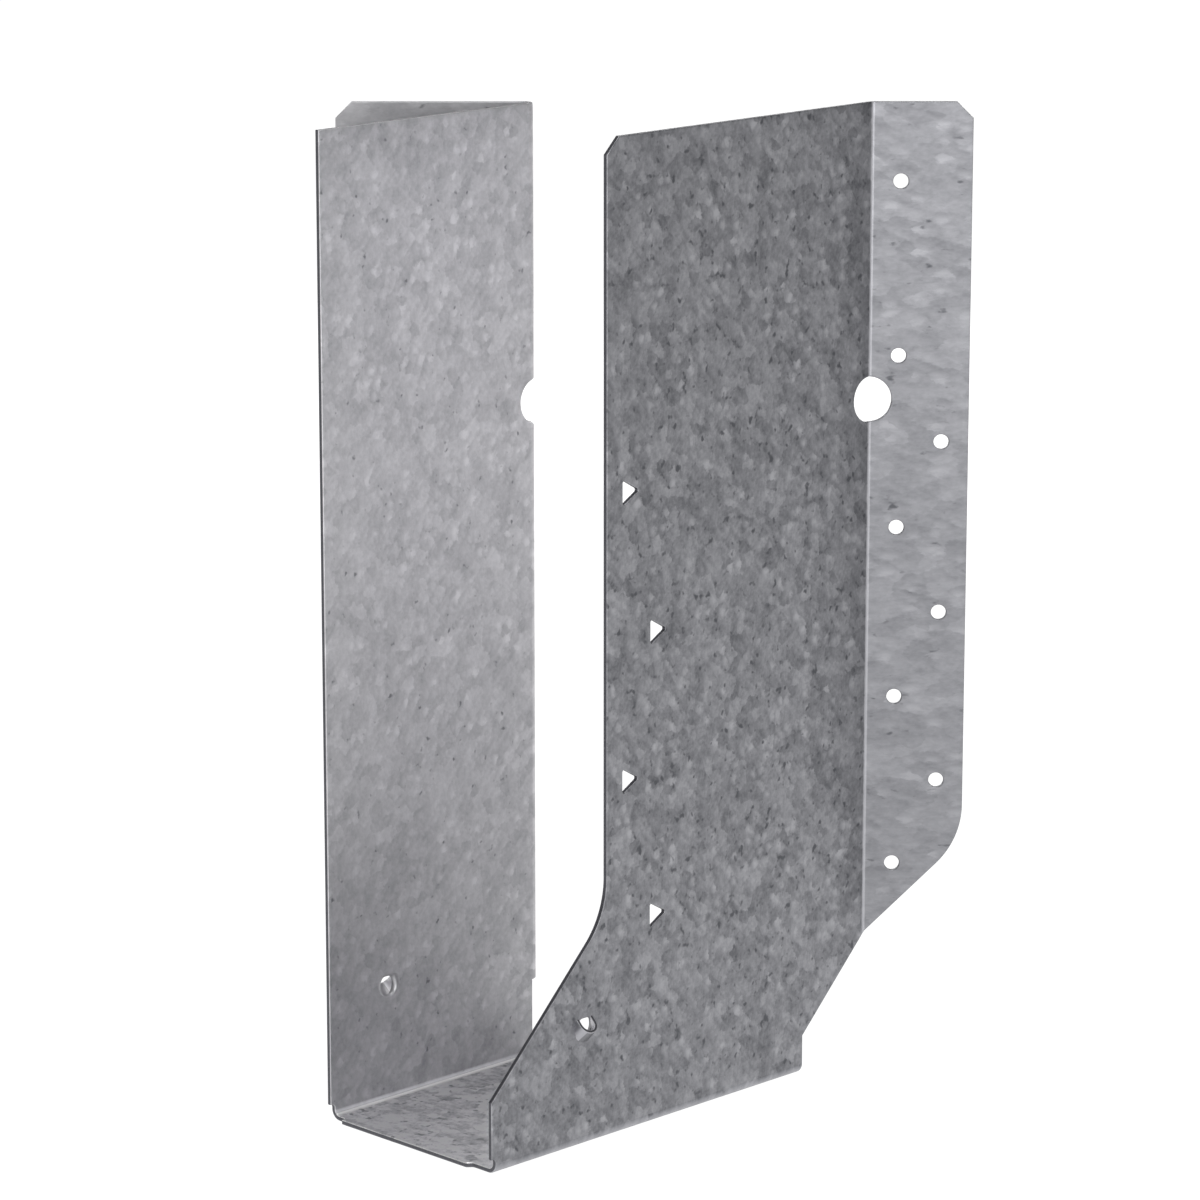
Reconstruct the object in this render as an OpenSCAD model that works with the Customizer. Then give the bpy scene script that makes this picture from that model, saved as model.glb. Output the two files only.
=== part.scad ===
// Skewed joist hanger: one sheet of galvanised steel, punched flat and folded
// into a seat, two side walls and two header flanges. The joist leaves the
// header at a skew, so the right fold is open and the left fold turns its
// flange back behind the wall. Millimetres; +Y points into the header, +Z up.
// The origin lies on the header face, on the joist's centre line, level with
// the underside of the seat.

/* [Sheet] */
// Thickness of the sheet
sheet = 1.52; // [1:0.02:2.6]
// Radius inside every fold
fold_r = 1.6; // [1:0.1:2.5]

/* [Joist pocket] */
// Clear width between the side walls
pocket_w = 65.1; // [50:0.1:80]
// Height of walls and flanges above the underside of the seat
hanger_h = 285.5; // [262:0.5:360]
// Angle between the joist and a line square to the header
skew = 45; // [35:1:48]
// Length of the seat along the right wall, from its fold corner
seat_front = 153.3; // [135:0.1:180]

/* [Right wall] */
// Length of the tall part of the right wall, from its fold corner
wall_l = 108.2; // [104:0.1:120]
// Chamfer on the top corners of the right wall and both flanges
chamfer = 4.76; // [2:0.02:8]
// Height of the right wall at the front of the seat
toe_h = 21.3; // [12:0.1:30]
// Radius where the tall edge runs into the sloping edge
knee_r = 25.4; // [10:0.1:40]
// Distance of the wall's rear edge from its fold corner
heel_x = 26.45; // [16:0.05:30]
// Height of the rear edge's upright part, above the underside of the seat
heel_h = 11.75; // [6:0.05:16]
// Height at which the right fold ends
right_fold_low = 37.8; // [34:0.05:46]

/* [Header flanges] */
// Width of the right flange from its fold corner
right_flange_w = 29.55; // [26:0.05:40]
// Height at which the right flange's sloping edge would meet its outer edge
right_flange_low = 66.6; // [62:0.1:75]
// Width of the left flange from its fold corner
left_flange_w = 61.05; // [52:0.05:70]
// Height at which the left flange's sloping edge would meet its outer edge
left_flange_low = 79; // [72:0.1:79]
// Height at which the left fold ends
left_fold_low = 24.5; // [24:0.1:34]
// Distance of the left wall's rear edge, below the fold, from its fold corner
left_heel_x = 7.5; // [7.5:0.05:12]
// Radius at the lower outer corner of each flange
flange_r = 25.4; // [10:0.1:30]

/* [Nail holes] */
// Diameter of the nail holes in the flanges
nail_d = 4.4; // [3.4:0.1:5.4]
// Distance between holes in a row
nail_pitch = 50.8; // [44:0.1:54]
// Distance of the highest hole below the top edge
nail_top = 22.9; // [16:0.1:30]
// Distance of the outer row from the flange's edge
nail_edge = 7.9; // [6:0.1:9]
// Distance between the two rows of a flange
row_gap = 12.7; // [9:0.1:13]
// Holes in the inner row of the right flange
right_inner_count = 5; // [3:1:5]
// Holes in the outer row of the right flange
right_outer_count = 3; // [2:1:3]
// Holes in each row of the left flange
left_row_count = 4; // [2:1:4]

/* [Fold holes] */
// Diameter of the hole punched across each header fold
fold_hole_d = 13.3; // [8:0.1:18]
// Distance of the fold holes below the top edge
fold_hole_top = 86.5; // [60:0.5:110]

/* [Triangular holes] */
// Side of each triangular nail hole, to its sharp corners
tri_side = 7.5; // [5:0.1:10]
// Corner radius of the triangular holes
tri_r = 0.6; // [0.3:0.05:1]
// Upright side of the outer holes, from the wall's front edge
tri_edge = 6.3; // [4:0.1:10]
// Distance between the two rows of triangular holes
tri_row_gap = 11.1; // [9:0.1:14]
// Distance of the highest triangular hole below the top edge
tri_top = 99.3; // [90:0.1:105]
// Height from one triangular hole to the next
tri_pitch = 41.3; // [36:0.1:43]
// Number of triangular holes
tri_count = 4; // [2:1:4]

/* [Nail scoops] */
// Bore of the scoop that guides a slanted nail
scoop_bore = 4.2; // [3.4:0.1:5.2]
// Thickness of the scoop's drawn wall
scoop_wall = 1.3; // [0.9:0.05:1.5]
// Angle of the nail below level
scoop_tilt = 45; // [35:1:55]
// Reach of the scoop's mouth along the nail
scoop_reach = 1.3; // [0.8:0.1:3]
// Height of the scoop's centre above the underside of the seat
scoop_h = 34.9; // [28:0.1:40]
// Distance of the right scoop from the seat's front
right_scoop_x = 36.2; // [32:0.1:42]
// Distance of the left scoop from the seat's front
left_scoop_x = 22.9; // [15:0.1:30]

/* [Fold relief] */
// Depth of the notches at the front ends of the seat folds
relief_depth = 1.6; // [1:0.1:3]
// Height of the notches up each wall
relief_h = 4.7; // [4.4:0.05:7]
// Width of the right notch across the seat, from the wall's outer face
right_relief_w = 9.3; // [6:0.1:14]
// Width of the left notch across the seat, from the wall's outer face
left_relief_w = 6.1; // [5.8:0.1:12]
// Corner radius inside the notches
relief_r = 1.2; // [0.5:0.05:1.5]

/* [Hidden] */
$fn = 96;
galvanised = [0.62, 0.63, 0.65];
slope = 45;                              // of every sloping edge of the blank
blunt = (90 + slope) / 2;                // half the corner of a sloping and an upright edge
outer_r = fold_r + sheet;                // radius outside a fold
half_w = pocket_w / 2;
corner_run = half_w * tan(skew);         // fold corners, fore and aft of the origin
right_turn = 90 - skew;                  // how far each header fold turns the sheet
left_turn = 90 + skew;
left_wall_l = seat_front - 2 * corner_run;
past = 1;                                // overrun of cutting shapes
hair = 0.002;                            // keeps arcs from only touching their edges
bore_ease = 0.05;                        // and equal bores from only touching each other
fold_hole_z = hanger_h - fold_hole_top;
scoop_outer = scoop_bore / 2 + scoop_wall;

// Where a fold ends, measured from its sharp corner along wall or flange
function fold_end(turn) = outer_r * tan(turn / 2);
// Where the middle of a fold would lie in the flat blank
function fold_mid(turn) = fold_end(turn) - (fold_r + sheet / 2) * turn / 2 * PI / 180;
// Where the mitre plane leaves the inside of a fold
function fold_vee(turn) = fold_end(turn) - fold_r * sin(turn / 2);

// What a round corner takes from a sharp one, or adds inside it. The corner is
// at the origin, opening towards +X; half is half its angle. The shape runs on
// past both edges, and the arc dips a hair under them so that they cross.
module spandrel(half, radius) {
    centre = radius / sin(half);
    reach = radius + past;
    difference() {
        polygon([[centre, 0], [centre - reach * sin(half), reach * cos(half)],
                 [centre - reach / sin(half), 0],
                 [centre - reach * sin(half), -reach * cos(half)]]);
        translate([centre, 0]) circle(radius + hair);
    }
}

// Plan of a wall, its header fold and its flange. X runs along the wall from
// the sharp corner of the fold, Y outwards from the joist.
module folded_plan(turn, wall_reach, flange_reach) {
    half = 90 - turn / 2;
    along = [-cos(turn), sin(turn)];     // along the flange
    through = [sin(turn), cos(turn)];    // through it, away from the header
    inner_corner = [sheet * tan(turn / 2), sheet];
    difference() {
        union() {
            polygon([[0, 0], [wall_reach, 0], [wall_reach, sheet], inner_corner,
                     flange_reach * along + sheet * through, flange_reach * along]);
            translate(inner_corner) rotate(half) spandrel(half, fold_r);
        }
        rotate(half) spandrel(half, outer_r);
    }
}

// From a wall's frame to its flange's: X along the flange, Y off the header
module on_flange(turn) {
    run = fold_end(turn);
    translate([run, outer_r, 0]) rotate(-turn) mirror([1, 0, 0])
        translate([-run, -outer_r, 0]) children();
}

// All but the outline given as children, drawn in X and Z, for the length given
module waste(from, reach) {
    translate([0, 2 * outer_r, 0]) rotate([90, 0, 0])
        linear_extrude(2 * outer_r + past) difference() {
            translate([from, -past]) square([reach + 2 * past - from, hanger_h + 2 * past]);
            children();
        }
}

// A wall folded into its flange. The children are the outlines of the two.
module folded_wall(turn, wall_reach, flange_reach) {
    difference() {
        translate([0, 0, outer_r]) linear_extrude(hanger_h - outer_r)
            folded_plan(turn, wall_reach + past, flange_reach + past);
        waste(-2 * outer_r, wall_reach) children(0);
        on_flange(turn) waste(fold_vee(turn), flange_reach) children(1);
        fold_hole(turn);
    }
}

// Hole punched across a fold, square to the wall and to the flange
module fold_hole(turn) {
    intersection() {
        fold_bore(turn, fold_hole_d / 2);
        on_flange(turn) fold_bore(turn, fold_hole_d / 2 + bore_ease);
    }
}

module fold_bore(turn, radius) {
    translate([fold_mid(turn), 0, fold_hole_z]) rotate([90, 0, 0])
        cylinder(h = 4 * fold_hole_d, r = radius, center = true);
}

// Frame of the joist: X along it away from the header, Y towards the right wall
module along_joist() {
    rotate(270 - skew) children();
}

// Frames of the two walls: X from the fold corner, Y outwards from the joist
module on_right_wall() {
    along_joist() translate([-corner_run, half_w, 0]) children();
}

module on_left_wall() {
    along_joist() translate([corner_run, -half_w, 0]) mirror([0, 1, 0]) children();
}

module nail_row(x, top, count) {
    for (i = [0 : count - 1])
        translate([x, hanger_h - top - i * nail_pitch]) circle(d = nail_d);
}

// Equilateral hole with its upright side at X = 0 and its tip towards the header
module triangle_hole() {
    height = tri_side * sin(60);
    inset = tri_r / tan(30);
    centres = [[-tri_r, tri_side / 2 - inset],
               [-tri_r, inset - tri_side / 2],
               [2 * tri_r - height, 0]];
    polygon([[0, inset - tri_side / 2], [0, tri_side / 2 - inset],
             [-inset * sin(60), tri_side / 2 - inset / 2],
             [inset * sin(60) - height, inset / 2],
             [inset * sin(60) - height, -inset / 2],
             [-inset * sin(60), inset / 2 - tri_side / 2]]);
    for (centre = centres) translate(centre) circle(tri_r);
}

module triangle_holes() {
    for (i = [0 : tri_count - 1])
        translate([wall_l - tri_edge - (i % 2) * tri_row_gap,
                   hanger_h - tri_top - i * tri_pitch])
            triangle_hole();
}

// Notch with a rounded inner corner; its open sides face +X and +Y
module relief_notch(depth, width) {
    translate([-depth, relief_r - width])
        square([depth + past, width - relief_r + past]);
    translate([relief_r - depth, -width])
        square([depth - relief_r + past, width + past]);
    translate([relief_r - depth, relief_r - width]) circle(relief_r);
}

module wall_relief(front) {
    translate([front, outer_r]) mirror([0, 1])
        relief_notch(relief_depth, relief_h - outer_r);
}

module right_wall_outline() {
    top = hanger_h + 2 * past;
    knee = [wall_l, toe_h + (seat_front - wall_l) * tan(slope)];
    fold_x = heel_x - (right_fold_low - heel_h) / tan(slope);
    difference() {
        union() {
            polygon([[-3 * outer_r, right_fold_low],
                     [fold_x, right_fold_low],
                     [heel_x, heel_h], [heel_x, -2 * past],
                     [seat_front, -2 * past], [seat_front, toe_h], knee,
                     [wall_l, hanger_h - chamfer], [wall_l - chamfer - 2 * past, top],
                     [-3 * outer_r, top]]);
            translate(knee) rotate(90 - blunt) spandrel(blunt, knee_r);
        }
        triangle_holes();
        wall_relief(seat_front);
    }
}

module left_wall_outline() {
    top = hanger_h + 2 * past;
    difference() {
        polygon([[-3 * outer_r, left_fold_low], [left_heel_x, left_fold_low],
                 [left_heel_x, -2 * past], [left_wall_l, -2 * past],
                 [left_wall_l, top], [-3 * outer_r, top]]);
        wall_relief(left_wall_l);
    }
}

// Flange with a chamfer above and, below, a sloping edge rounded into the outer
module flange_outline(width, low) {
    top = hanger_h + 2 * past;
    difference() {
        polygon([[0, low - width * tan(slope)], [width, low], [width, hanger_h - chamfer],
                 [width - chamfer - 2 * past, top], [0, top]]);
        translate([width, low]) rotate(90 + blunt) spandrel(blunt, flange_r);
    }
}

module right_flange_outline() {
    outer_row = right_flange_w - nail_edge;
    difference() {
        flange_outline(right_flange_w, right_flange_low);
        nail_row(outer_row - row_gap, nail_top, right_inner_count);
        nail_row(outer_row, nail_top + 1.5 * nail_pitch, right_outer_count);
    }
}

module left_flange_outline() {
    outer_row = left_flange_w - nail_edge;
    difference() {
        flange_outline(left_flange_w, left_flange_low);
        nail_row(outer_row - row_gap, nail_top + nail_pitch / 2, left_row_count);
        nail_row(outer_row, nail_top, left_row_count);
    }
}

// Frame of a scoop: Z out of its mouth along the nail, Y down and outwards
module scoop_frame(x) {
    translate([x, sheet, scoop_h]) rotate([scoop_tilt - 90, 0, 0]) children();
}

// Block on the outer side of a plane that lies Y deep in the wall
module outside_of(y, x) {
    reach = 3 * scoop_outer;
    translate([x - reach, y, scoop_h - reach]) cube(2 * reach);
}

module scoop_lump(x) {
    intersection() {
        outside_of(sheet / 2, x);
        scoop_frame(x) translate([0, 0, -2 * scoop_outer])
            linear_extrude(2 * scoop_outer + scoop_reach) {
                circle(scoop_outer);
                translate([-scoop_outer, -2 * scoop_outer]) square(2 * scoop_outer);
            }
    }
}

module scoop_path(x) {
    scoop_frame(x) cylinder(h = 6 * scoop_outer, d = scoop_bore, center = true);
    intersection() {
        outside_of(sheet, x);
        scoop_frame(x) translate([-scoop_bore / 2, -3 * scoop_outer, -scoop_outer])
            cube([scoop_bore, 3 * scoop_outer, 3 * scoop_outer]);
    }
}

module right_side() {
    scoop_x = seat_front - right_scoop_x;
    on_right_wall() difference() {
        union() {
            folded_wall(right_turn, seat_front, right_flange_w) {
                right_wall_outline();
                right_flange_outline();
            }
            scoop_lump(scoop_x);
        }
        scoop_path(scoop_x);
    }
}

module left_side() {
    scoop_x = left_wall_l - left_scoop_x;
    on_left_wall() difference() {
        union() {
            folded_wall(left_turn, left_wall_l, left_flange_w) {
                left_wall_outline();
                left_flange_outline();
            }
            scoop_lump(scoop_x);
        }
        scoop_path(scoop_x);
    }
}

// Seat and its folds up to the walls, before trimming
module folded_seat() {
    flat = half_w - fold_r;
    translate([-corner_run, 0, 0]) {
        translate([0, -flat, 0]) cube([seat_front, 2 * flat, sheet]);
        for (side = [0, 1]) mirror([0, side, 0])
            translate([0, flat, outer_r]) rotate([90, 0, 90])
                rotate(270) rotate_extrude(angle = 90)
                    translate([fold_r, 0]) square([sheet, seat_front]);
    }
}

// Seat seen from above: square at the front, slanted at the rear so that it
// runs from the rear edge of one wall to that of the other
module seat_outline() {
    front = seat_front - corner_run;
    right_rear = heel_x - corner_run;
    left_rear = left_heel_x + corner_run;
    side = half_w + sheet;
    flat = half_w - fold_r;
    difference() {
        polygon([[front, -side - past], [front, side + past], [right_rear, side + past],
                 [right_rear, flat], [left_rear, -flat], [left_rear, -side - past]]);
        translate([front, side]) relief_notch(relief_depth, right_relief_w);
        translate([front, -side]) mirror([0, 1]) relief_notch(relief_depth, left_relief_w);
    }
}

module seat() {
    along_joist() intersection() {
        folded_seat();
        translate([0, 0, -past]) linear_extrude(outer_r + 2 * past) seat_outline();
    }
}

module hanger() {
    color(galvanised) union() {
        seat();
        right_side();
        left_side();
    }
}

hanger();
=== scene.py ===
import bmesh
import bpy
import math
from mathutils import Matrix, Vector


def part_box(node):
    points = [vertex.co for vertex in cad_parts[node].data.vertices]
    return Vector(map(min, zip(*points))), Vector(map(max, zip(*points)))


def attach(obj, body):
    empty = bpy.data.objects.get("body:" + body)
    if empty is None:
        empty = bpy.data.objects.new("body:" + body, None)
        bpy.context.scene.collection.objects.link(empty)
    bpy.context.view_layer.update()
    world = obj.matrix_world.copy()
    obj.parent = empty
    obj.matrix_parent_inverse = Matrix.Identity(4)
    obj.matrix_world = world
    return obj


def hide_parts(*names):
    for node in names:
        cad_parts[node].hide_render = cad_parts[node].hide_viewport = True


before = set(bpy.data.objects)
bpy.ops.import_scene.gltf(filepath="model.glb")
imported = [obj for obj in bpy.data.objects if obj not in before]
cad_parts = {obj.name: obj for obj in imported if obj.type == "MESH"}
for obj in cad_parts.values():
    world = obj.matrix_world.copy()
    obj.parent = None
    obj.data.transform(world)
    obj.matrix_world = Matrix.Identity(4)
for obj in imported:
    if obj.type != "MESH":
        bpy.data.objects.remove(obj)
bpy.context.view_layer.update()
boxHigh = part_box("hanger")[1]
mm = 0.001
closeBy = 1e-5                  # millimetres within which a cut takes a point to lie on it,
weldBy = 0.001                  # and within which two points of the blank are made one
print("frame loaded:", ", ".join(sorted(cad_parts)))


def linearColour(hexCode):
    # sRGB hex to the linear values that sockets take
    channels = [int(hexCode[i:i + 2], 16) / 255 for i in (1, 3, 5)]
    return (*[c / 12.92 if c <= 0.04045 else ((c + 0.055) / 1.055) ** 2.4 for c in channels], 1.0)


def addNode(tree, kind, inputs=None, **settings):
    # one node with its settings, its values and its incoming links
    node = tree.nodes.new(kind)
    for name, value in settings.items():
        setattr(node, name, value)
    for socket, value in (inputs or {}).items():
        if isinstance(value, bpy.types.NodeSocket):
            tree.links.new(value, node.inputs[socket])
        else:
            node.inputs[socket].default_value = value
    return node


def addObject(name, data):
    made = bpy.data.objects.new(name, data)
    bpy.context.scene.collection.objects.link(made)
    return made


def addMaterial(name):
    # a material and its tree, emptied
    material = bpy.data.materials.new(name)
    material.use_nodes = True
    material.node_tree.nodes.clear()
    return material, material.node_tree


# The blank, before it is bent. Heights are above the underside of the seat.
blank = {
    "sheet": 1.52,              # thickness of the steel
    "foldRadius": 1.6,          # inside every bend
    "edgeRound": 0.28,          # rounding that the punch and the zinc leave on cut edges
    "pocketWidth": 65.1,        # clear width between the walls
    "skew": 45.0,               # between the joist and a line square to the header
    "height": boxHigh.z / mm,
    "seatFront": 153.3,         # front of the seat, from the right fold's corner
    "wallLength": 108.2,        # tall part of the right wall
    "chamfer": 4.76,            # top corners
    "toeHeight": 21.3,          # right wall at the front of the seat, where its 45 degree slope begins
    "kneeRadius": 25.4,         # where the tall edge runs into the sloping one
    "heelX": 26.45,             # rear edge of the right wall, from its fold's corner
    "heelHeight": 11.75,
    "rightFlangeWidth": 29.55,
    "rightFlangeLow": 66.6,     # where its sloping edge would meet its outer edge
    "leftFlangeWidth": 61.05,
    "leftFlangeLow": 79.0,
    "leftFoldLow": 24.5,        # lower end of the left fold
    "leftHeelX": 7.5,
    "flangeRadius": 25.4,       # lower outer corner of each flange
    "chordError": 0.008,        # how far an arc's chords may leave it
    "bendFacets": 14,           # across a right-angled bend
    "sharpFrom": 32,            # edges that turn by more than this stay crisp, in degrees
}
nailHoles = {
    "diameter": 4.4,
    "pitch": 50.8,
    "top": 22.9,                # highest hole below the top edge
    "edge": 7.9,                # outer row to the flange's edge
    "rowGap": 12.7,
    "rightInner": 5,            # holes in each row
    "rightOuter": 3,
    "leftRow": 4,
    "rightDrop": 1.5,           # pitches from the top of one row down to that of the other
    "leftDrop": 0.5,
}
foldHoles = {"diameter": 13.3, "top": 86.5}
triangles = {
    "side": 7.5,
    "radius": 0.6,
    "edge": 6.3,                # outer row to the wall's front edge
    "rowGap": 11.1,
    "top": 99.3,
    "pitch": 41.3,
    "count": 4,
}
relief = {
    "depth": 1.6,               # notches at the front ends of the seat bends
    "height": 4.7,              # up each wall
    "rightWidth": 9.3,          # across the seat, from the wall's outer face
    "leftWidth": 6.1,
    "radius": 1.2,
}
nailScoops = {
    "bore": 4.2,                # of the trough, across the nail
    "drawnWall": 1.1,           # its thickness
    "taper": 0.9,               # wider each side at the wall than at the mouth
    "tilt": 45.0,               # of the nail, out of the wall and upwards
    "reach": 1.9,               # mouth past the wall's outer face, along the nail
    "height": 35.3,
    "rightX": 117.1,            # from the corner of each fold
    "leftX": 65.3,
    "root": 2.5,                # bores that the trough runs back behind the wall's outer face,
    "sunk": 0.4,                # and the share of the sheet at which it is cut off there
    "lip": 0.25,                # rounding round the mouth
    "holeHalf": 2.45,           # hole through the wall: half its width, and its rise and fall
    "holeUp": 2.6,
    "holeDown": 3.0,
    "squareness": 0.5,          # of the upper half, where 1 would be round
    "slant": 0.3,               # rise of the hole for its way through the sheet
    "flare": 1.2,               # rounding where the hole meets the joist side
    "flareAlong": 1.5,          # how much of it widens the hole along the wall,
    "flareUp": 0.6,             # and how much up and down
    "flareEnd": 1.6,            # flares that it has grown by, past the joist side
    "flareSteps": 5,
    "sides": 40,
    "rubbed": 0.74,             # how far the die has burnished the sides of the trough
}

outerRadius = blank["foldRadius"] + blank["sheet"]
neutralRadius = blank["foldRadius"] + blank["sheet"] / 2
halfPocket = blank["pocketWidth"] / 2
cornerRun = halfPocket * math.tan(math.radians(blank["skew"]))
seatHalf = halfPocket - blank["foldRadius"]             # flat of the seat, each way
seatBend = neutralRadius * math.pi / 2                  # sheet that a seat bend takes up
wallShift = seatHalf + seatBend - outerRadius           # a height on a wall to a place across the blank
wallFoot = seatHalf + seatBend
frontA = blank["seatFront"] - cornerRun                 # front edge, along the joist


def headerFold(sign, turnDegrees, corner):
    # a fold between wall and flange: where it starts along the joist and the sheet it takes up
    turn = math.radians(turnDegrees)
    setback = outerRadius * math.tan(turn / 2)
    length = neutralRadius * turn
    return {"sign": sign, "turn": turn, "start": corner + setback, "length": length,
            "flangeZero": corner + 2 * setback - length}


rightFold = headerFold(1, 90 - blank["skew"], -cornerRun)
leftFold = headerFold(-1, 90 + blank["skew"], cornerRun)


def onWall(fold, x, height, radius=0):
    # a corner of a wall, x from its fold's corner, as (along, across, radius) on the blank
    corner = -cornerRun * fold["sign"]
    return (corner + x, fold["sign"] * (height + wallShift), radius)


def onFlange(fold, x, height, radius=0):
    # the same for a flange, x out from the fold's corner
    return (fold["flangeZero"] - x, fold["sign"] * (height + wallShift), radius)


def roundedLoop(corners):
    # closed outline through (x, y, radius) corners, each radius drawn as an arc
    points = []
    for i, (x, y, radius) in enumerate(corners):
        corner = Vector((x, y))
        if radius == 0:
            points.append(corner)
            continue
        back = (Vector(corners[i - 1][:2]) - corner).normalized()
        ahead = (Vector(corners[(i + 1) % len(corners)][:2]) - corner).normalized()
        halfOpening = back.angle(ahead) / 2
        centre = corner + (back + ahead).normalized() * radius / math.sin(halfOpening)
        first = corner + back * radius / math.tan(halfOpening) - centre
        last = corner + ahead * radius / math.tan(halfOpening) - centre
        sweep = first.angle_signed(last)
        steps = max(3, math.ceil(abs(sweep) / (2 * math.acos(1 - blank["chordError"] / radius))))
        heading = math.atan2(first.y, first.x)
        for k in range(steps + 1):
            angle = heading - sweep * k / steps
            points.append(centre + radius * Vector((math.cos(angle), math.sin(angle))))
    return points


def roundHole(middle, diameter):
    radius = diameter / 2
    steps = math.ceil(math.pi / math.acos(1 - blank["chordError"] / radius))
    return [Vector((middle[0] + radius * math.cos(2 * math.pi * k / steps),
                    middle[1] + radius * math.sin(2 * math.pi * k / steps))) for k in range(steps)]


def blankOutline():
    # from the left end of the seat's front edge, round the right side first
    top, chamfer = blank["height"], blank["chamfer"]
    knee = blank["toeHeight"] + blank["seatFront"] - blank["wallLength"]
    leftWall = blank["seatFront"] - 2 * cornerRun
    side = halfPocket + blank["sheet"]
    deep = frontA - relief["depth"]
    rightStep, leftStep = side - relief["rightWidth"], relief["leftWidth"] - side
    inner = relief["radius"]
    wide, low, bend = blank["leftFlangeWidth"], blank["leftFlangeLow"], blank["leftFoldLow"]
    return roundedLoop([
        (frontA, leftStep, 0),
        (frontA, rightStep - inner, inner),
        (deep, rightStep, inner),
        (deep, relief["height"] + wallShift, inner),
        (frontA, relief["height"] + wallShift, 0),
        onWall(rightFold, blank["seatFront"], blank["toeHeight"]),
        onWall(rightFold, blank["wallLength"], knee, blank["kneeRadius"]),
        onWall(rightFold, blank["wallLength"], top - chamfer),
        onWall(rightFold, blank["wallLength"] - chamfer, top),
        onFlange(rightFold, blank["rightFlangeWidth"] - chamfer, top),
        onFlange(rightFold, blank["rightFlangeWidth"], top - chamfer),
        onFlange(rightFold, blank["rightFlangeWidth"], blank["rightFlangeLow"], blank["flangeRadius"]),
        onWall(rightFold, blank["heelX"], blank["heelHeight"]),
        (blank["heelX"] - cornerRun, seatHalf, 0),
        (blank["leftHeelX"] + cornerRun, -seatHalf, 0),
        onWall(leftFold, blank["leftHeelX"], bend),
        onFlange(leftFold, bend - low + wide, bend),
        onFlange(leftFold, wide, low, blank["flangeRadius"]),
        onFlange(leftFold, wide, top - chamfer),
        onFlange(leftFold, wide - chamfer, top),
        onWall(leftFold, leftWall, top),
        onWall(leftFold, leftWall, relief["height"]),
        (deep, -relief["height"] - wallShift, inner),
        (deep, leftStep, inner),
    ])


def nailRow(fold, x, top, count):
    heights = [blank["height"] - top - i * nailHoles["pitch"] for i in range(count)]
    return [roundHole(onFlange(fold, x, height), nailHoles["diameter"]) for height in heights]


def punchedHoles():
    rightOuter = blank["rightFlangeWidth"] - nailHoles["edge"]
    leftOuter = blank["leftFlangeWidth"] - nailHoles["edge"]
    gap, pitch, top = nailHoles["rowGap"], nailHoles["pitch"], nailHoles["top"]
    loops = nailRow(rightFold, rightOuter - gap, top, nailHoles["rightInner"])
    loops += nailRow(rightFold, rightOuter, top + nailHoles["rightDrop"] * pitch, nailHoles["rightOuter"])
    loops += nailRow(leftFold, leftOuter - gap, top + nailHoles["leftDrop"] * pitch, nailHoles["leftRow"])
    loops += nailRow(leftFold, leftOuter, top, nailHoles["leftRow"])
    for fold in (rightFold, leftFold):
        middle = fold["start"] - fold["length"] / 2
        across = fold["sign"] * (blank["height"] - foldHoles["top"] + wallShift)
        loops.append(roundHole((middle, across), foldHoles["diameter"]))
    tip, half = triangles["side"] * math.sin(math.pi / 3), triangles["side"] / 2
    for i in range(triangles["count"]):
        x = blank["wallLength"] - triangles["edge"] - (i % 2) * triangles["rowGap"]
        height = blank["height"] - triangles["top"] - i * triangles["pitch"]
        loops.append(roundedLoop([onWall(rightFold, x, height - half, triangles["radius"]),
                                  onWall(rightFold, x, height + half, triangles["radius"]),
                                  onWall(rightFold, x - tip, height, triangles["radius"])]))
    return loops


def punchBlank():
    # flat curve with rounded rims, made a mesh that lies half above and half below z = 0
    curve = bpy.data.curves.new("blank", "CURVE")
    curve.dimensions = "2D"
    curve.fill_mode = "BOTH"
    curve.extrude = blank["sheet"] / 2 - blank["edgeRound"]
    curve.bevel_depth = blank["edgeRound"]
    curve.bevel_resolution = 3
    curve.offset = -blank["edgeRound"]
    for loop in [blankOutline()] + punchedHoles():
        spline = curve.splines.new("POLY")
        spline.points.add(len(loop) - 1)
        for point, place in zip(spline.points, loop):
            point.co = (place.x, place.y, 0, 1)
        spline.use_cyclic_u = True
    drawn = addObject("blank", curve)
    mesh = bpy.data.meshes.new_from_object(drawn.evaluated_get(bpy.context.evaluated_depsgraph_get()))
    bpy.data.objects.remove(drawn)
    mesh.uv_layers.remove(mesh.uv_layers[0])
    return mesh


# How the finish and the painted light follow the sheet, as marks on the blank that the zinc's material
# reads.
finishAndPaintedLight = {
    "roundedRim": 0.15,         # rubbing of a cut edge's rounding, where the cut itself has 1
    "scoopLip": 0.5,            # and of the lip of a scoop
    "cutFrom": 0.75,            # faces marked with more than this have the sheared finish
    "calm": 0.5,                # how even the crystals are on flanges, scoops and inner faces,
    "calmOuter": 0.1,           # and on the outer faces of the walls
    "flangeDraw": 0.55,         # crystals on the flanges are drawn out sideways
    "seatPaintedLight": 4.0,           # painted light: brightness of the seat, where the walls' inner faces have 1, of the flanges' faces against the header, of the outer faces of the seat bends, where it is a painted shade, and the most on the other face of the left flange
    "flangePaintedLight": 0.3,         # of the flanges' faces against the header,
    "heelPaintedShade": -0.2,          # of the outer faces of the seat bends,
    "mostPaintedLight": 1.5,           # and the most on the other face of the left flange
}


def cutAcross(mesh, faces, place, normal):
    # splits these faces along a plane, so that the sheet can bend there
    parts = set(faces)
    for face in faces:
        parts.update(face.edges)
        parts.update(face.verts)
    bmesh.ops.bisect_plane(mesh, geom=list(parts), plane_co=place, plane_no=normal, dist=closeBy)


def paintedLightShare(facesJoist, place):
    # painted light: bright on the joist side; on the outer side only the left wall is painted brighter
    # towards its flange
    if facesJoist:
        return 1.0
    run = (frontA - place.x) / (frontA - leftFold["start"])
    return min(max(run, 0.0), finishAndPaintedLight["mostPaintedLight"]) if place.y < -wallFoot else 0.0


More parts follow.
